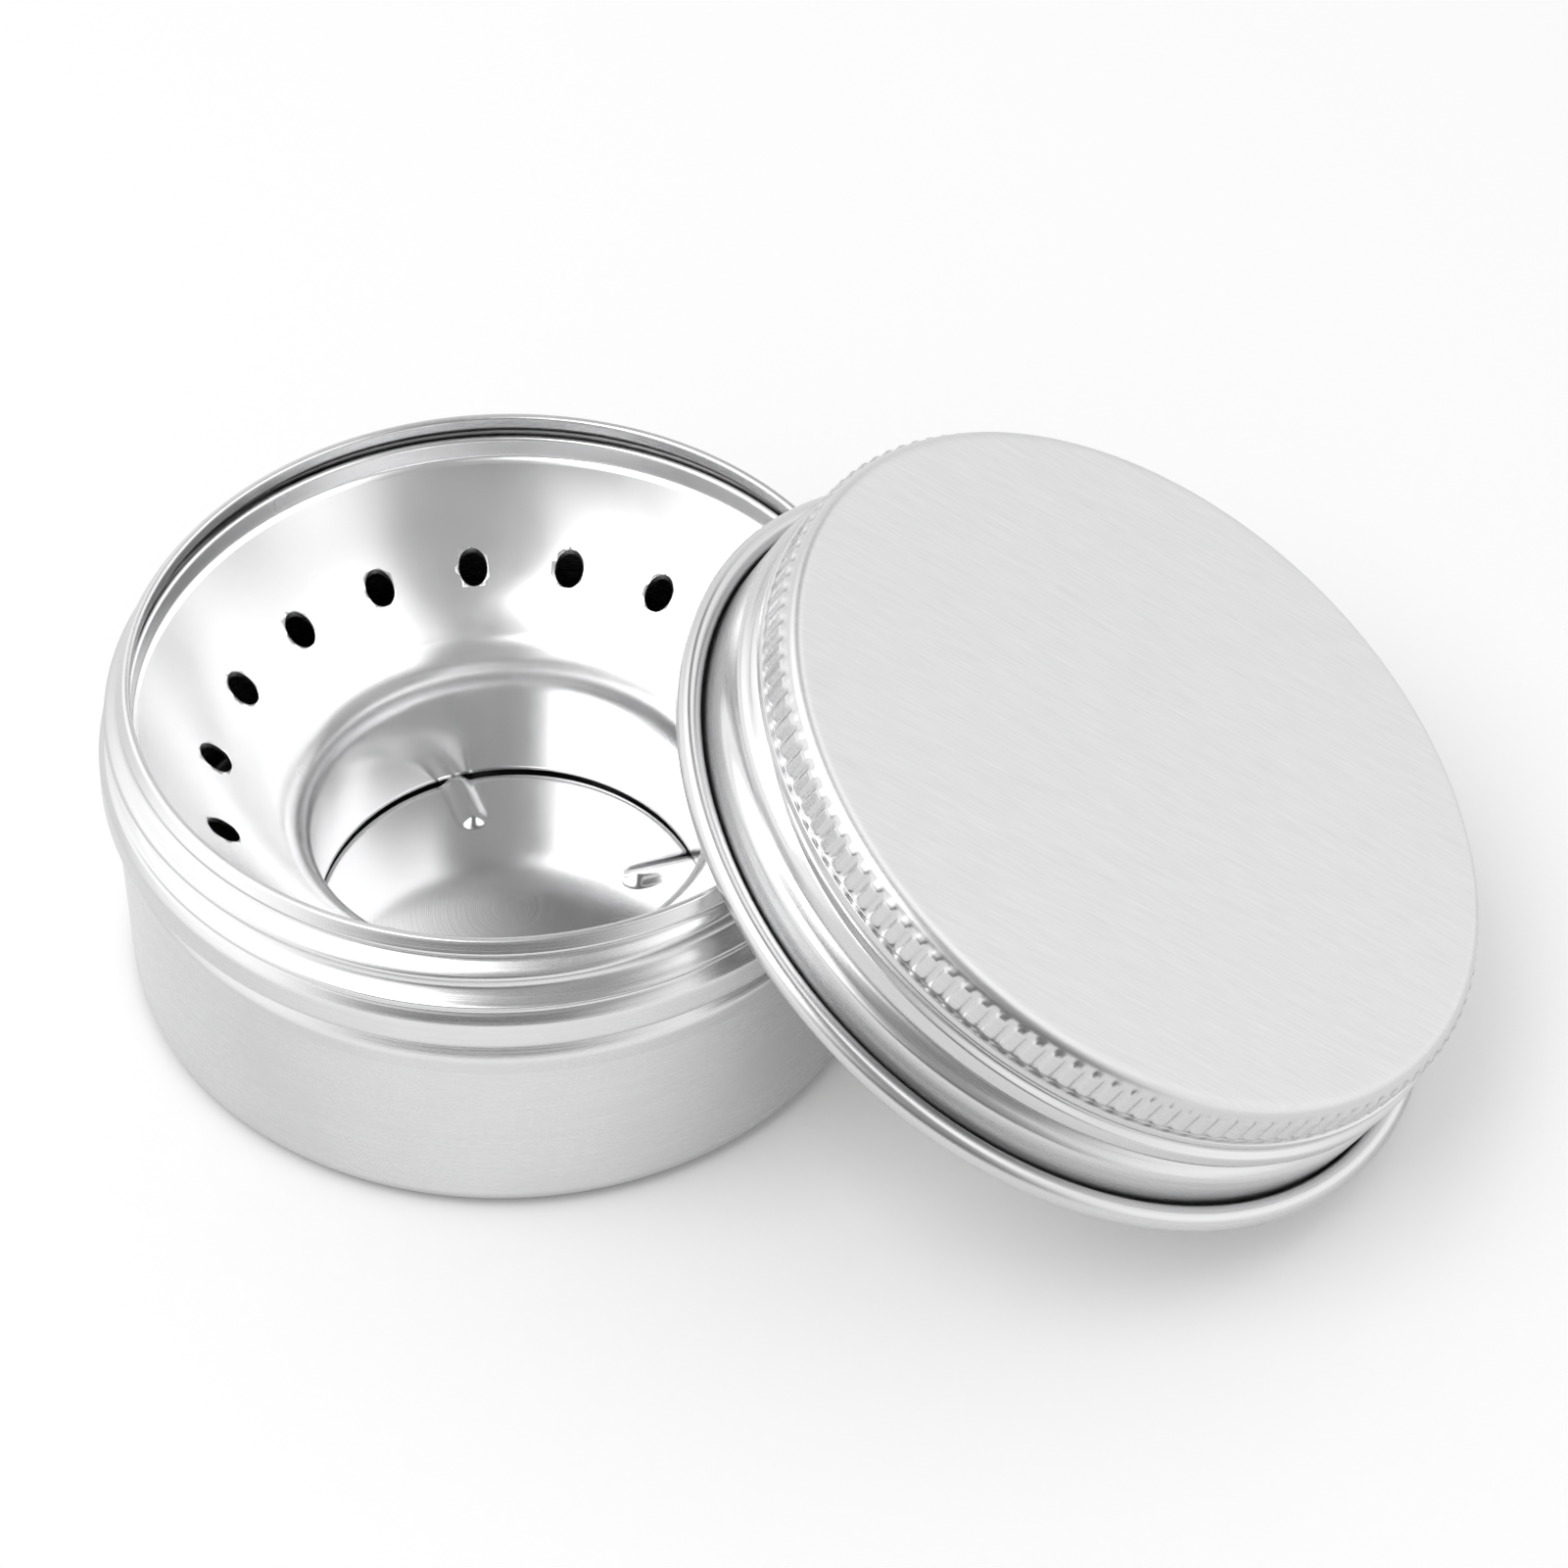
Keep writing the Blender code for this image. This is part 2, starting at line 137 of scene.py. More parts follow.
class Finish(Nodes):
    """A surface finish: a material with one Principled shader."""

    def __init__(self, name, **constants):
        self.material = bpy.data.materials.new(name)
        self.material.use_nodes = True
        self.tree = self.material.node_tree
        self.shader = self.tree.nodes["Principled BSDF"]
        self.wear(**constants)

    def place(self, location=(0.0, 0.0, 0.0), rotation=(0.0, 0.0, 0.0)):
        """Object coordinates in metres, from the given place and turn."""
        coordinates = self.node("ShaderNodeTexCoord", output="Object")
        return self.node(
            "ShaderNodeMapping", {"vector_type": "TEXTURE"},
            {"Vector": coordinates, "Location": location, "Rotation": rotation})

    def noise(self, vector, scale, detail, roughness=0.5, w=None):
        settings = {"noise_dimensions": "3D" if w is None else "4D"}
        inputs = {"Vector": vector, "Scale": scale, "Detail": detail, "Roughness": roughness}
        if w is not None:
            inputs["W"] = w
        return self.node("ShaderNodeTexNoise", settings, inputs)

    def round_lines(self, x, y, z):
        """Fine brushed lines that run round Z, each fading in and out along its way."""
        radius = (x * x + y * y) ** 0.5
        vector = self.join(radius * 9000.0, z * 9000.0, x * 45.0)
        return self.noise(vector, 1.0, 3.0, 0.6, y * 45.0)

    def blend(self, factor, first, second):
        """A colour between two, by a factor from 0 to 1."""
        first, second = ((*one, 1.0) if isinstance(one, tuple) else one for one in (first, second))
        return self.node(
            "ShaderNodeMix", {"data_type": "RGBA", "clamp_factor": True},
            {0: factor, 6: first, 7: second}, 2)

    def bump(self, height, distance, strength):
        inputs = {"Height": height, "Distance": distance, "Strength": strength}
        return self.node("ShaderNodeBump", inputs=inputs)

    def wear(self, **values):
        """Feeds constants, or what varies over the surface, to the shader's sockets."""
        for socket, value in values.items():
            self.feed(self.shader.inputs[socket.replace("_", " ")], value)
        return self.material


# The floor's glow is seen but lights nothing: it is faint round the stove, and white far off.
floor_finish = Finish(
    "floor_white", Base_Color=(0.90, 0.90, 0.90, 1.0), Roughness=0.9, Specular_IOR_Level=0.0,
    Emission_Strength=1.0)
near_glow, far_glow = (0.12, 0.12, 0.12), (1.0, 1.0, 1.0)
x, y = floor_finish.split(floor_finish.place())[:2]
glow = floor_finish.blend(((x * x + y * y) ** 0.5).step(0.3, 1.3), near_glow, far_glow)
glow = floor_finish.blend(floor_finish.shown(), (0.0, 0.0, 0.0), glow)
grain = floor_finish.noise(floor_finish.place(), 900.0, 3.0)
floor_finish.wear(Emission_Color=glow, Normal=floor_finish.bump(grain, 0.00002, 0.2))
floor_reach, floor_level = 1.6, -0.0002
floor_mesh = bpy.data.meshes.new("floor")
floor_mesh.from_pydata(
    [(side * floor_reach, end * floor_reach, floor_level)
     for side, end in ((-1, -1), (1, -1), (1, 1), (-1, 1))],
    [], [(0, 1, 2, 3)])
floor_mesh.materials.append(floor_finish.material)
floor = bpy.data.objects.new("floor", floor_mesh)
scene.collection.objects.link(floor)


class Tent(Nodes):
    """The studio round the stove: white, brighter low at its sides and high up, dark low along its
    open front, with a grey gap above that, which narrows to a strip overhead and at the back. It
    gives less light than it shows, so that the lamp draws the shadow."""

    def __init__(self, name, light):
        self.world = bpy.data.worlds.new(name)
        self.world.use_nodes = True
        self.tree = self.world.node_tree
        self.x, self.y, self.z = self.split(self.node("ShaderNodeTexCoord", output="Generated"))
        # Bounds are parts of the view's direction. Upwards, 0 is level and 1 is overhead. Towards a
        # side, 0 is square to it and 1 is straight at it.
        middle = 1.0 - self.towards(5).sum("ABSOLUTE").step(0.25, 0.85)
        front = self.towards(-85).step(-0.1, 0.2) * middle * (1.0 - self.z.step(0.38, 0.5))
        ahead = self.towards(-81).sum("MAXIMUM", 0.0)
        gap_width = ahead.sum("MINIMUM", self.z) * 0.44
        gap = (self.towards(9) - ahead * 0.22 - 0.05).sum("ABSOLUTE") - gap_width
        gap = (1.0 - gap.step(0.09, 0.23)) * (self.z + ahead).step(0.52, 0.62)
        sides = self.towards(10).sum("ABSOLUTE").step(0.5, 0.9) * (1.0 - self.z.step(0.3, 0.6))
        above = self.z.step(0.52, 0.74) * (1.0 - gap)
        dark = (front * 0.86).sum("MAXIMUM", gap * (0.84 - ahead * 0.3))
        bright = 1.0 - dark + sides * 0.35 + above * 0.7
        shade = (bright - light) * self.shown() + light
        self.feed(self.tree.nodes["Background"].inputs["Color"], self.join(shade, shade, shade))

    def towards(self, azimuth):
        """How far the view is along a level direction, given in degrees from X."""
        azimuth = math.radians(azimuth)
        return self.x * math.cos(azimuth) + self.y * math.sin(azimuth)


scene.world = Tent("studio", 0.73).world

lamp_data = bpy.data.lights.new("left_panel", "AREA")
lamp_data.shape = "SQUARE"
lamp_data.size = 0.7
lamp_data.energy = 3.5
lamp = bpy.data.objects.new("left_panel", lamp_data)
scene.collection.objects.link(lamp)
lamp.location = (-0.38, -0.32, 0.88)
stove_middle = Vector((0.02, 0.0, 0.015))
lamp.rotation_euler = (stove_middle - lamp.location).to_track_quat("-Z", "Y").to_euler()
lamp.visible_camera = False


# Tin
# The fuel tin is one drawn aluminium sheet with a nearly flat floor, a rounded foot, a bead at the
# shoulder and a rolled thread in the neck. Its rim is rolled outwards and pressed into a narrow hem.
def drawn(*corners, step=0.0006):
    """The face of a drawn sheet as points, from corners of (radius, height, rounding)."""
    facet, closest = math.radians(12), 0.000005
    points = []
    for index, (radius, height, rounding) in enumerate(corners):
        here = Vector((radius, height))
        if not rounding:
            points.append(here)
            continue
        before = (Vector(corners[index - 1][:2]) - here).normalized()
        after = (Vector(corners[index + 1][:2]) - here).normalized()
        half = before.angle(after) / 2
        run = rounding / math.tan(half)
        centre = here + (before + after).normalized() * (rounding / math.sin(half))
        spoke = here + before * run - centre
        turn = -math.copysign(math.pi - 2 * half, before.x * after.y - before.y * after.x)
        count = max(2, round(abs(turn) / facet))
        for part in range(count + 1):
            angle = turn * part / count
            points.append(centre + Vector((
                spoke.x * math.cos(angle) - spoke.y * math.sin(angle),
                spoke.x * math.sin(angle) + spoke.y * math.cos(angle))))
    filled = [points[0]]
    for point in points[1:]:
        start = filled[-1]
        gap = (point - start).length
        if gap < closest:
            continue
        count = max(1, math.ceil(gap / step))
        filled += [start.lerp(point, part / count) for part in range(1, count + 1)]
    return filled


def behind(points, sheet):
    """The other face of the sheet, on the right-hand side of the run of points."""
    face = []
    for index, point in enumerate(points):
        run = points[min(index + 1, len(points) - 1)] - points[max(index - 1, 0)]
        face.append(point + Vector((run.y, -run.x)).normalized() * sheet)
    return face


def turned(name, points, columns, warp=None, closed=False):
    """Turns a run of points about Z, each with its own count of columns if a list is given. A point
    on the axis becomes a pole, and a closed run joins its last ring to its first. The faces look to
    the left of the run."""
    if isinstance(columns, int):
        columns = [columns] * len(points)
    verts, faces, rings = [], [], []
    for (radius, height), count in zip(points, columns):
        if radius < 1e-7:
            rings.append([len(verts)])
            verts.append((0.0, 0.0, height))
            continue
        angles = np.arange(count) * math.tau / count
        reach = np.full(count, radius)
        rise = np.full(count, height)
        if warp:
            reach, rise = warp(reach, rise, angles)
        rings.append(list(range(len(verts), len(verts) + count)))
        verts += np.column_stack((reach * np.cos(angles), reach * np.sin(angles), rise)).tolist()
    pairs = list(zip(rings, rings[1:]))
    if closed:
        pairs.append((rings[-1], rings[0]))
    for low, high in pairs:
        cells = min(len(low), len(high))
        if cells == 1:
            cells = max(len(low), len(high))
        for cell in range(cells):
            edge = []
            for ring, run in ((low, 1), (high, -1)):
                if len(ring) == 1:
                    edge += ring
                    continue
                part = len(ring) // cells
                corners = [ring[(cell * part + corner) % len(ring)] for corner in range(part + 1)]
                edge += corners[::run]
            faces.append(edge[::-1])
    mesh = bpy.data.meshes.new(name)
    mesh.from_pydata(verts, [], faces)
    mesh.shade_smooth()
    return mesh


def stand(name, mesh, material, body, slot, *nodes):
    """Puts a finished mesh in the scene in place of the solids it stands for."""
    mesh.materials.clear()
    mesh.materials.append(material)
    piece = bpy.data.objects.new(name, mesh)
    scene.collection.objects.link(piece)
    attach(piece, body)
    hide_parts(*nodes)


def ridge(angle, height, first_angle, first_height, turns, pitch, width):
    """How far each point is up the ridge of a right-handed thread, from 0 to 1. Its two ends fade
    out over a part of a turn."""
    run_out = 0.12
    best = np.zeros_like(angle)
    phase = ((angle - first_angle) % math.tau) / math.tau
    for turn in range(math.ceil(turns) + 1):
        along = phase + turn
        off = np.abs(height - first_height - pitch * along) / (width / 2)
        fade = np.clip(np.minimum(along, turns - along) / run_out, 0.0, 1.0)
        fade = fade * fade * (3 - 2 * fade)
        best = np.maximum(best, fade * np.cos(np.clip(off, 0, 1) * math.pi / 2) ** 2)
    return best


COLUMNS = 360
TIN_SHEET = 0.00035
THREAD_PITCH = 0.0033
NECK_CREST, NECK_DEPTH, NECK_FADE = 0.0340, 0.00125, 0.0005
NECK_RADIUS, NECK_FOOT, NECK_TOP = 0.0326, 0.0234, 0.0300
HEM_FOOT = 0.02985
FLOOR_TOP = 0.0010
DOME_RADIUS, DOME_HEIGHT = 0.0176, 0.0004
RIB_ANGLE, RIB_START, RIB_END = math.radians(30), 0.0120, 0.0227
RIB_HALF_WIDTH, RIB_HEIGHT = 0.0015, 0.00045


def press_neck(reach, rise, angles):
    """Presses the thread outwards in the neck, and four ribs up in the floor."""
    if NECK_FOOT < rise[0] < NECK_TOP:
        fade = min(1.0, (NECK_TOP - rise[0]) / NECK_FADE, (rise[0] - NECK_FOOT) / NECK_FADE)
        spare = np.clip(NECK_CREST - reach, 0.0, NECK_DEPTH) * fade
        reach = reach + spare * ridge(
            angles, rise, first_angle=math.radians(189), first_height=0.0246, turns=1.4,
            pitch=THREAD_PITCH, width=0.0028)
    if rise[0] < FLOOR_TOP:
        quarter = math.pi / 2
        off = (angles - RIB_ANGLE + quarter / 2) % quarter - quarter / 2
        along = np.clip(reach * np.cos(off), RIB_START, RIB_END)
        away = np.hypot(reach * np.cos(off) - along, reach * np.sin(off)) / RIB_HALF_WIDTH
        rise = rise + RIB_HEIGHT * np.clip(1.0 - away ** 2, 0.0, 1.0) ** 1.3
    return reach, rise


floor_dome = [
    Vector((DOME_RADIUS * part, TIN_SHEET + DOME_HEIGHT * (1 - part ** 2)))
    for part in np.arange(60) / 60]
tin_inside = floor_dome + drawn(
    (DOME_RADIUS, TIN_SHEET, 0),
    (0.03340, TIN_SHEET, 0.00125),
    (0.03340, 0.0172, 0.003),
    (0.03348, 0.0188, 0.0007),
    (0.03285, 0.0201, 0.0005),
    (0.03285, 0.0205, 0.0003),
    (0.03438, 0.0217, 0.0003),
    (0.03430, 0.0239, 0.0004),
    (0.03385, 0.0247, 0.0004),
    (0.03225, 0.0254, 0.0006),
    (0.03225, 0.0293, 0.0005),
    (0.03140, 0.0303, 0.0003),
    (0.03140, 0.0310, 0),
    step=0.0003)
# The outside runs up to where the hem folds back on it, and starts on the axis.
tin_outside = [point for point in behind(tin_inside, TIN_SHEET) if point.y < HEM_FOOT]
tin_outside[0].x = 0.0
hem = drawn(
    (0.03140, 0.0310, 0),
    (0.03140, 0.0314, 0.00025),
    (0.03200, 0.0314, 0.0002),
    (0.03262, 0.0305, 0.0002),
    (0.03262, 0.0301, 0.0002),
    (0.03230, 0.0301, 0),
    (0.03225, 0.0300, 0),
    step=0.0002)
tin_run = tin_inside + hem[1:] + list(reversed(tin_outside))
tin_mesh = turned("tin", tin_run, COLUMNS, press_neck)

# The tin's lines are strong outside and faint inside the rim. Its flanks get painted shade where they
# are seen at a slant, for the dark surroundings they mirror, and the closed chamber is painted dark.
CHAMBER_SHADE_TONE = (0.16, 0.16, 0.16)
tin_finish = Finish("satin_tin", Metallic=1.0)
x, y, z = tin_finish.split(tin_finish.place())
radius = (x * x + y * y) ** 0.5
lines = tin_finish.round_lines(x, y, z)
cloud = tin_finish.noise(tin_finish.place(), 120.0, 3.0)
inner = 1.0 - radius.step(0.0300, 0.0315)
lines = lines * (1.0 - inner * 0.75) + inner * 0.38
tin_tone_and_shade = tin_finish.blend(lines * 0.6 + cloud * 0.4, (0.66, 0.66, 0.665), (0.86, 0.86, 0.865))
# Painted shade: the flanks are darkened towards grey where they are seen at a slant.
slant_shade = tin_finish.node("ShaderNodeLayerWeight", inputs={"Blend": 0.5}, output=1).step(0.28, 0.55)
tin_tone_and_shade = tin_finish.blend(slant_shade * (1.0 - inner) * 0.26, tin_tone_and_shade, (0.2, 0.2, 0.2))
# Painted shade: the floor and wall of the closed fuel chamber round the cup are painted dark.
chamber_shade = radius.step(0.0176, 0.0181) * (1.0 - radius.step(0.03350, 0.03360))
chamber_shade = chamber_shade * (1.0 - z.step(0.0172, 0.0178))
tin_metal = tin_finish.wear(
    Base_Color=tin_finish.blend(chamber_shade, tin_tone_and_shade, CHAMBER_SHADE_TONE),
    Roughness=lines * 0.12 + cloud * 0.08 - inner * 0.13 + 0.17,
    Normal=tin_finish.bump(lines, 0.000016, 0.7))
stand("tin_shell", tin_mesh, tin_metal, "tin", "satin_tin", "tin_body")


# Burner
# The burner is pressed from one aluminium sheet: a collar that fits the neck, a dished cone with a
# ring of 18 jets, a rounded throat, and the wall of the fuel cup, which stands on the floor's ribs.
BURNER_SHEET = 0.0004
NECK_GAP = 0.0003
CUP_RADIUS, CUP_FOOT, CUP_TOP = 0.0173, 0.0008, 0.0113
THROAT_ROUND, THROAT_TURN = 0.0050, math.radians(60)
CONE_INSET, CONE_TOP, CONE_DISH = 0.00019, 0.02666, 0.0016
COLLAR_ROUND, COLLAR_FOOT, COLLAR_TOP = 0.0009, 0.0271, 0.0288
collar = NECK_RADIUS - TIN_SHEET - NECK_GAP - BURNER_SHEET
foot, top = Vector((CUP_RADIUS, CUP_FOOT)), Vector((CUP_RADIUS, CUP_TOP))
burner_face = [foot.lerp(top, part / 24) for part in range(24)]
throat = Vector((CUP_RADIUS + THROAT_ROUND, CUP_TOP))
for part in range(13):
    angle = math.pi - THROAT_TURN * part / 12
    burner_face.append(throat + Vector((math.cos(angle), math.sin(angle))) * THROAT_ROUND)
low, high = burner_face[-1], Vector((collar - CONE_INSET, CONE_TOP))
for part in range(1, 41):
    share = part / 40
    point = low.lerp(high, share)
    burner_face.append(Vector((point.x, point.y - CONE_DISH * 4 * share * (1 - share))))
for part in range(1, 5):
    angle = math.radians(52 + 38 * part / 4)
    burner_face.append(Vector((
        collar - COLLAR_ROUND * (1 - math.sin(angle)), COLLAR_FOOT - COLLAR_ROUND * math.cos(angle))))
foot, top = Vector((collar, COLLAR_FOOT)), Vector((collar, COLLAR_TOP))
burner_face += [foot.lerp(top, part / 4) for part in range(1, 5)]
burner_back = list(reversed(behind(burner_face, BURNER_SHEET)))
burner_mesh = turned("burner", burner_face + burner_back, COLUMNS, closed=True)

burner_finish = Finish("bright_burner", Metallic=1.0)
x, y, z = burner_finish.split(burner_finish.place())
radius = (x * x + y * y) ** 0.5
smears = burner_finish.noise(burner_finish.join(x * 300.0, y * 300.0, z * 120.0), 1.0, 2.0)
burner_tone = burner_finish.blend(smears, (0.91, 0.91, 0.915), (0.96, 0.96, 0.965))
# Painted shade: the back of the cup wall, inside the closed fuel chamber, is painted dark.
hidden_shade = radius.step(0.01745, 0.01760) * (1.0 - z.step(0.0112, 0.0120))
burner_metal = burner_finish.wear(
    Base_Color=burner_finish.blend(hidden_shade, burner_tone, CHAMBER_SHADE_TONE),
    Roughness=smears * 0.06 + 0.23,
    Normal=burner_finish.bump(smears, 0.00001, 0.3))

JETS, FIRST_JET = 18, math.radians(9.2)
JET_CIRCLE, JET_RADIUS, JET_SIDES = 0.02515, 0.0013, 32
PUNCH_FOOT, PUNCH_TOP = 0.0125, 0.0275
punch_verts, punch_faces = [], []
for jet in range(JETS):
    angle = FIRST_JET + math.tau * jet / JETS
    centre = Vector((math.cos(angle), math.sin(angle), 0.0)) * JET_CIRCLE
    first = len(punch_verts)
    for height in (PUNCH_FOOT, PUNCH_TOP):
        for side in range(JET_SIDES):
            turn = math.tau * side / JET_SIDES
            spoke = Vector((JET_RADIUS * math.cos(turn), JET_RADIUS * math.sin(turn), height))
            punch_verts.append(centre + spoke)
    upper = first + JET_SIDES
    punch_faces.append([first + side for side in reversed(range(JET_SIDES))])
    punch_faces.append([upper + side for side in range(JET_SIDES)])
    for side in range(JET_SIDES):
        after = (side + 1) % JET_SIDES
        punch_faces.append((first + side, first + after, upper + after, upper + side))
punch_mesh = bpy.data.meshes.new("jet_punches")
punch_mesh.from_pydata(punch_verts, [], punch_faces)
punches = bpy.data.objects.new("jet_punches", punch_mesh)
uncut = bpy.data.objects.new("uncut_burner", burner_mesh)
scene.collection.objects.link(uncut)
scene.collection.objects.link(punches)
cut = uncut.modifiers.new("jets", "BOOLEAN")
cut.operation = "DIFFERENCE"
cut.solver = "EXACT"
cut.object = punches
depsgraph = bpy.context.evaluated_depsgraph_get()
pierced = bpy.data.meshes.new_from_object(uncut.evaluated_get(depsgraph))
pierced.name = "burner_pierced"
bpy.data.objects.remove(uncut)
bpy.data.objects.remove(punches)
stand("burner_pressing", pierced, burner_metal, "tin", "bright_burner", "burner_insert")


# Lid
# The lid is one drawn aluminium sheet with a straight-brushed panel, 120 pads pressed out round the
# grip, a thread pressed in below them, and a curl turned out at the mouth. It leans on the tin.
LID_SHEET = 0.0004
LID_HEIGHT = 0.0143
PADS, PAD_RADIUS = 120, 0.03485
SKIRT_CREST, SKIRT_DEPTH, SKIRT_FADE = 0.03355, 0.0014, 0.0006
CURL_MIDDLE, CURL_ROUND = 0.03655, 0.00105
mouth_middle = (0.048325, 0.0, 0.017898)
lid_lean = math.radians(29.05)
lid_seat = Matrix.Translation(mouth_middle) @ Matrix.Rotation(lid_lean, 4, "Y")


def press_skirt(reach, rise, angles):
    """Presses the thread inwards in the skirt."""
    lowest, top = LID_HEIGHT - 0.0091, LID_HEIGHT - 0.0048
    if lowest - 0.0026 < rise[0] < top:
        fade = min(1.0, (top - rise[0]) / SKIRT_FADE)
        spare = np.clip(reach - SKIRT_CREST, 0, SKIRT_DEPTH) * fade
        reach = reach - spare * ridge(
            angles, rise, first_angle=math.radians(184), first_height=lowest, turns=1.15,
            pitch=THREAD_PITCH, width=0.0026)
    return reach, rise


curl = []
for part in range(33):
    angle = math.radians(166) - math.radians(256) * part / 32
    curl.append(Vector((
        CURL_MIDDLE + CURL_ROUND * math.cos(angle), CURL_ROUND + CURL_ROUND * math.sin(angle))))
lid_inside = curl[:-1] + drawn(
    (CURL_MIDDLE, 0.0, 0),
    (0.03495, 0.0, 0.0008),
    (0.03495, LID_HEIGHT - 0.0058, 0.0004),
    (0.0340, LID_HEIGHT - 0.0053, 0.0004),
    (0.0340, LID_HEIGHT - LID_SHEET, 0.00085),
    (0.0, LID_HEIGHT - LID_SHEET, 0),
    step=0.0003)
lid_outside = [point for point in behind(lid_inside, LID_SHEET) if point.y < LID_HEIGHT - 0.0061]
lid_outside += drawn(
    (0.03535, LID_HEIGHT - 0.0060, 0),
    (0.03535, LID_HEIGHT - 0.0057, 0.00025),
    (0.03445, LID_HEIGHT - 0.0052, 0.0003),
    (PAD_RADIUS, LID_HEIGHT - 0.0048, 0.0003),
    (PAD_RADIUS, LID_HEIGHT - 0.0042, 0.00008),
    (0.03440, LID_HEIGHT - 0.0041, 0.00008),
    (0.03440, LID_HEIGHT, 0.00125),
    (0.0, LID_HEIGHT, 0),
    step=0.0003)
lid_outside.reverse()
# The grip has twelve columns for each pad, and the rest of the lid has fewer.
lid_columns = []
for point in lid_outside:
    gripped = point.x > 0.0342 and 0.0005 < LID_HEIGHT - point.y < 0.0044
    lid_columns.append(12 * PADS if gripped else COLUMNS)
lid_columns += [COLUMNS] * len(lid_inside)
lid_mesh = turned("lid", lid_outside + lid_inside, lid_columns, press_skirt)


class Shaping(Nodes):
    """A tree of geometry nodes that reshapes one mesh, with its sizes as named inputs."""

    def __init__(self, name, sizes):
        self.tree = bpy.data.node_groups.new(name, "GeometryNodeTree")
        self.socket("Geometry", "Geometry", "OUTPUT")
        self.socket("Geometry", "Geometry")
        for size, value in sizes.items():
            self.socket(size, "Float").default_value = value
        self.socket("Material", "Material")
        self.entry = self.tree.nodes.new("NodeGroupInput")
        self.sizes = sizes

    def socket(self, name, kind, in_out="INPUT"):
        return self.tree.interface.new_socket(name, in_out=in_out, socket_type="NodeSocket" + kind)

    def given(self, name):
        return Socket(self, self.entry.outputs[name])

    def finish(self, geometry):
        """Makes real what is repeated, and gives it its material."""
        real = self.node("GeometryNodeRealizeInstances", inputs={0: geometry})
        dressed = self.node(
            "GeometryNodeSetMaterial", inputs={0: real, "Material": self.given("Material")})
        self.feed(self.tree.nodes.new("NodeGroupOutput").inputs[0], dressed)

    def shape(self, mesh, material):
        """The mesh as the tree leaves it, with no modifier left."""
        blank = bpy.data.objects.new(mesh.name + "_blank", mesh)
        scene.collection.objects.link(blank)
        modifier = blank.modifiers.new(self.tree.name, "NODES")
        modifier.node_group = self.tree
        values = {**self.sizes, "Material": material}
        for item in self.tree.interface.items_tree:
            if item.in_out == "INPUT" and item.name in values:
                modifier[item.identifier] = values[item.name]
        evaluated = blank.evaluated_get(bpy.context.evaluated_depsgraph_get())
        shaped = bpy.data.meshes.new_from_object(evaluated)
        blank.modifiers.remove(modifier)
        bpy.data.objects.remove(blank)
        shaped.shade_smooth()
        return shaped


# Each pad is a rounded oblong. The tree measures how deep inside its outline a point lies, and
# pushes it outwards, fully where it is deeper than the slope. The root's radius spares the inside.
grip = Shaping("grip_pads", {
    "Count": float(PADS), "Radius": PAD_RADIUS, "Rise": 0.00026, "Width": 0.00155, "Length": 0.0033,
    "Middle": LID_HEIGHT - 0.0025, "Round": 0.00065, "Slope": 0.00040, "Root": 0.03425})
x, y, z = grip.split(grip.node("GeometryNodeInputPosition"))
radius = (x * x + y * y) ** 0.5
cell = y.sum("ARCTAN2", x) * grip.given("Count") * (1 / math.tau)
across = (cell.sum("FRACT") - 0.5).sum("ABSOLUTE") * math.tau * grip.given("Radius")
across = across.sum("DIVIDE", grip.given("Count")) - grip.given("Width") * 0.5 + grip.given("Round")
along = (z - grip.given("Middle")).sum("ABSOLUTE")
along = along - grip.given("Length") * 0.5 + grip.given("Round")
outside = (across.sum("MAXIMUM", 0.0) ** 2.0 + along.sum("MAXIMUM", 0.0) ** 2.0) ** 0.5
inside = across.sum("MAXIMUM", along).sum("MINIMUM", 0.0)
depth = (outside + inside - grip.given("Round")) * -1.0
share = grip.node(
    "ShaderNodeMapRange", {"interpolation_type": "SMOOTHERSTEP"},
    {0: depth, 1: 0.0, 2: grip.given("Slope")})
share = share * radius.sum("GREATER_THAN", grip.given("Root")) * grip.given("Rise")
push = grip.node("ShaderNodeVectorMath", {"operation": "NORMALIZE"}, {0: grip.join(x, y, 0.0)})
push = grip.node("ShaderNodeVectorMath", {"operation": "SCALE"}, {0: push, "Scale": share})
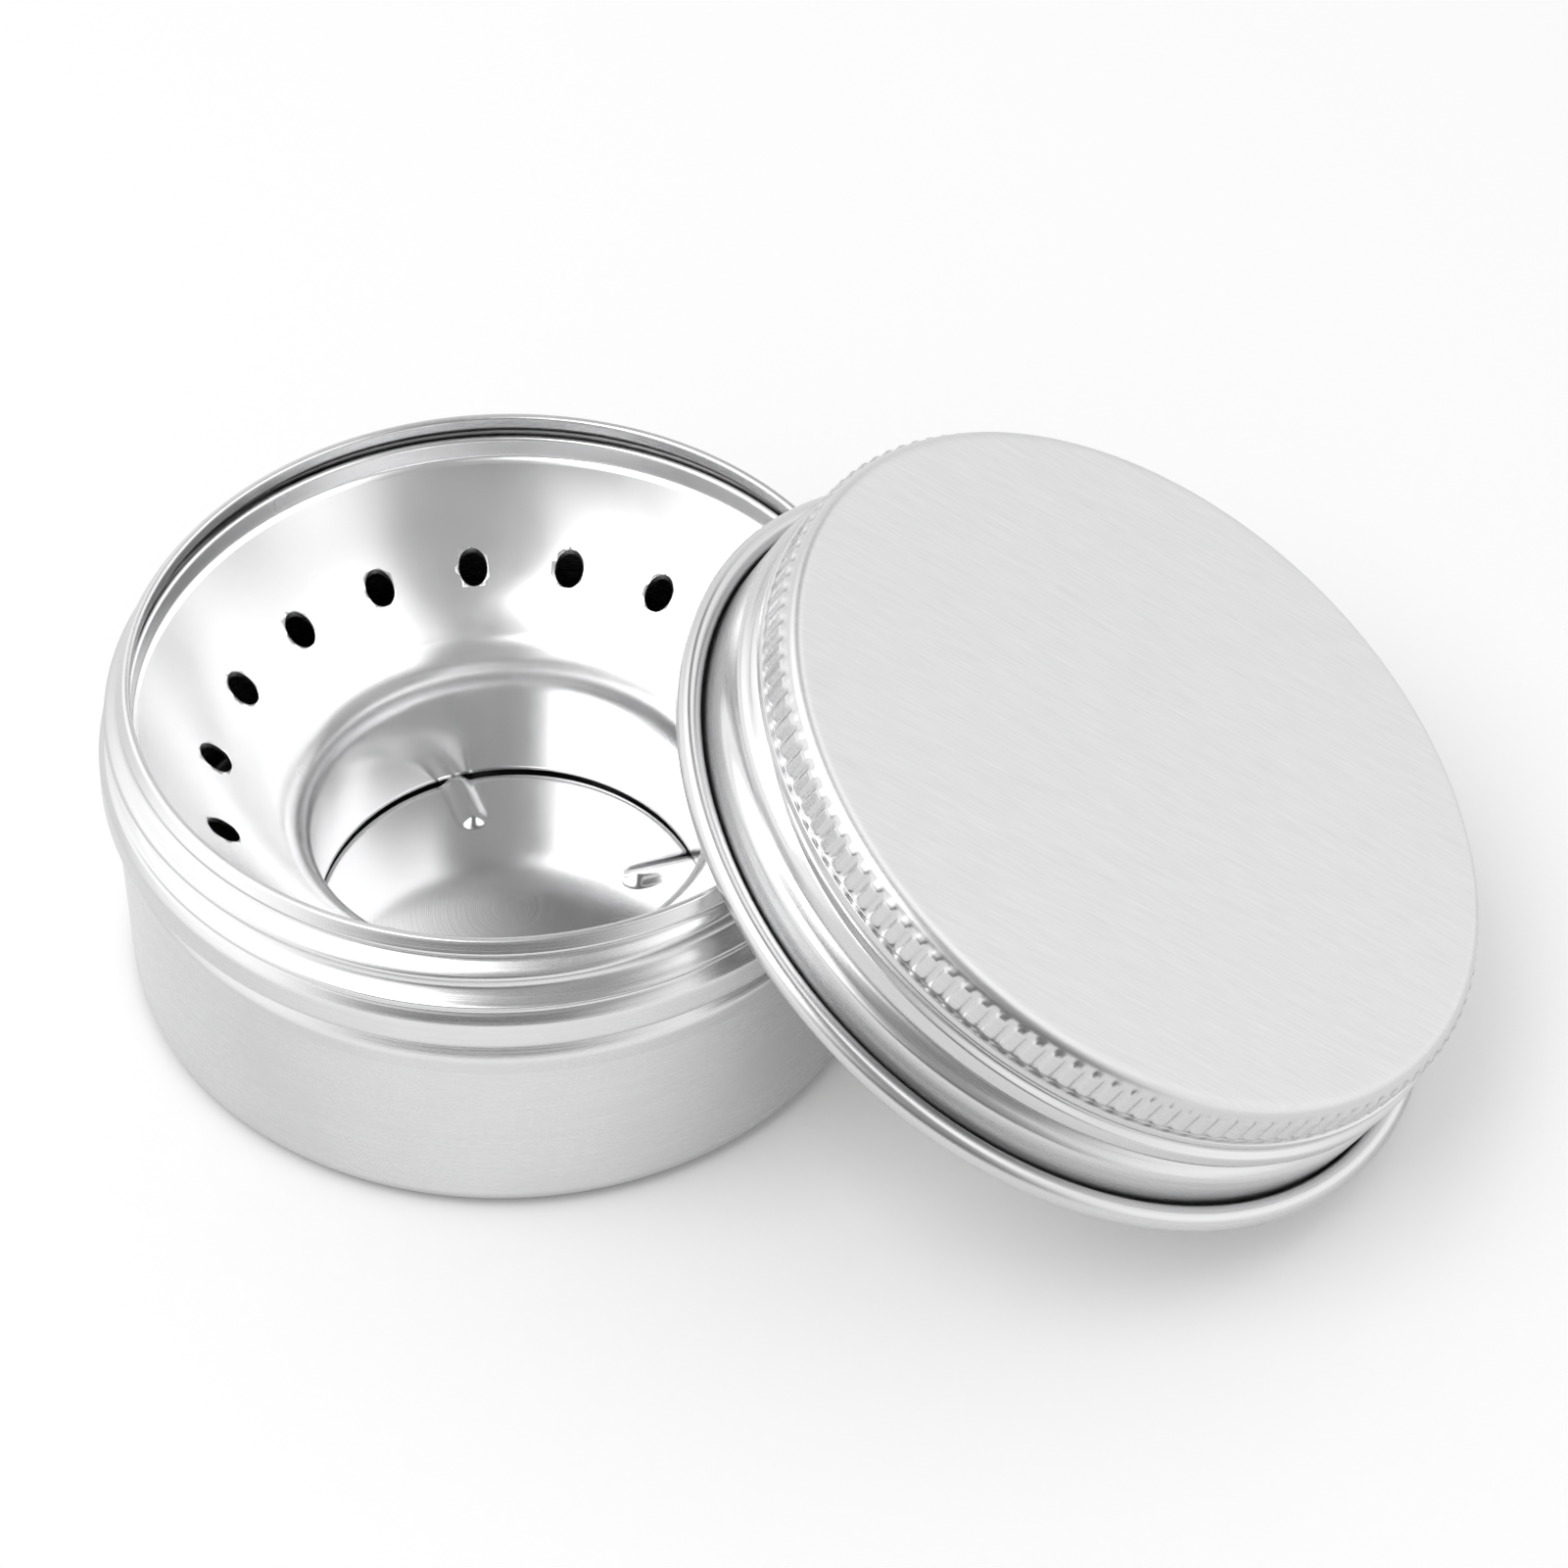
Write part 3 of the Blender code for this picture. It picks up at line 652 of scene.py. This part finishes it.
grip.finish(grip.node(
    "GeometryNodeSetPosition", inputs={"Geometry": grip.given("Geometry"), "Offset": push}))

lid_finish = Finish("satin_lid", Metallic=1.0)
x, y, z = lid_finish.split(lid_finish.place(mouth_middle, (0.0, lid_lean, 0.0)))
straight_lines = lid_finish.noise(lid_finish.join(x * 250.0, y * 6000.0, z * 6000.0), 1.0, 3.0, 0.6)
on_panel = z.step(LID_HEIGHT - 0.0006, LID_HEIGHT - 0.0001)
lid_lines = straight_lines * on_panel + lid_finish.round_lines(x, y, z) * (1.0 - on_panel)
lid_metal = lid_finish.wear(
    Base_Color=lid_finish.blend(lid_lines, (0.56, 0.56, 0.565), (0.73, 0.73, 0.735)),
    Roughness=lid_lines * 0.12 + on_panel * 0.12 + 0.22,
    Normal=lid_finish.bump(lid_lines, 0.000016, 0.5))
lid_mesh = grip.shape(lid_mesh, lid_metal)
lid_mesh.transform(lid_seat)
stand("lid_cap", lid_mesh, lid_metal, "lid", "satin_lid", "lid_shell")


# Liner
# A thin disc of closed-cell foam lies under the lid's panel and seals on the tin's rim when the lid
# is screwed down.
LINER_RADIUS, LINER_THICKNESS, LINER_EDGE, LINER_GAP = 0.0335, 0.0010, 0.0002, 0.0003
liner_top = LID_HEIGHT - LID_SHEET - LINER_GAP
liner_foot = liner_top - LINER_THICKNESS
liner_run = drawn(
    (0.0, liner_top, 0),
    (LINER_RADIUS, liner_top, LINER_EDGE),
    (LINER_RADIUS, liner_foot, LINER_EDGE),
    (0.0, liner_foot, 0))
liner_mesh = turned("liner", liner_run, 180)
liner_mesh.transform(lid_seat)
liner_finish = Finish("foam_liner", Roughness=0.75)
cells = liner_finish.noise(liner_finish.place(), 2600.0, 2.0)
liner_foam = liner_finish.wear(
    Base_Color=liner_finish.blend(cells, (0.84, 0.84, 0.82), (0.93, 0.93, 0.91)),
    Normal=liner_finish.bump(cells, 0.00008, 0.6))
stand("liner_disc", liner_mesh, liner_foam, "seal", "foam_liner", "lid_liner")
